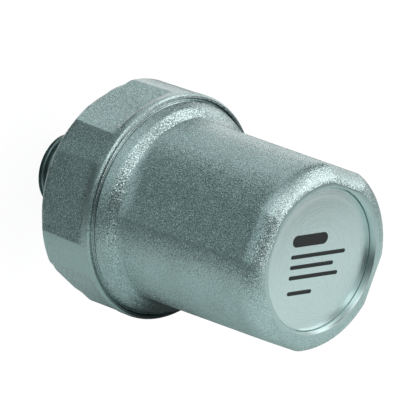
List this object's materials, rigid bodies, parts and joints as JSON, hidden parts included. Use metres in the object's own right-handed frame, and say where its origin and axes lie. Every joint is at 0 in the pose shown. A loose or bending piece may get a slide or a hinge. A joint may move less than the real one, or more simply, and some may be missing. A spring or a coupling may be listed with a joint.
{
  "type": "water hammer arrestor",
  "caption": "Screw-in water hammer arrestor: hexagon body with a male pipe thread, flanged cup-shaped cap with four flats and a recessed end disc, and a sealed spring-loaded piston inside.",
  "frame": {"origin": "centre of the male thread's end face", "axes": "+Z along the arrestor's axis from the thread to the cap's end, +X square to one wrench flat"},
  "size_m": [0.0608, 0.0608, 0.0948],
  "materials": {
    "plated_body": "nickel plated, blasted flats and turned corners",
    "blasted_cap": "nickel plated over a fine blasted surface",
    "label": "glossy pale metallic disc",
    "seal_rubber": "matt black",
    "piston_plastic": "off-white moulded",
    "spring_steel": "drawn wire with ground ends"
  },
  "bodies": {
    "housing": {"body": "plated_body", "cap": "blasted_cap", "label_disc": "label", "cap_seal_ring": "seal_rubber", "spring": "spring_steel"},
    "piston": {"piston": "piston_plastic", "piston_seal_lower": "seal_rubber", "piston_seal_upper": "seal_rubber"}
  },
  "joints": [
    {"name": "piston_slide", "type": "slide", "parent": "housing", "child": "piston", "axis": [0, 0, 1], "range_m": [0, 0.016], "stiffness_N_per_m": 13400, "springref_m": -0.008, "deforming": ["spring"]}
  ]
}
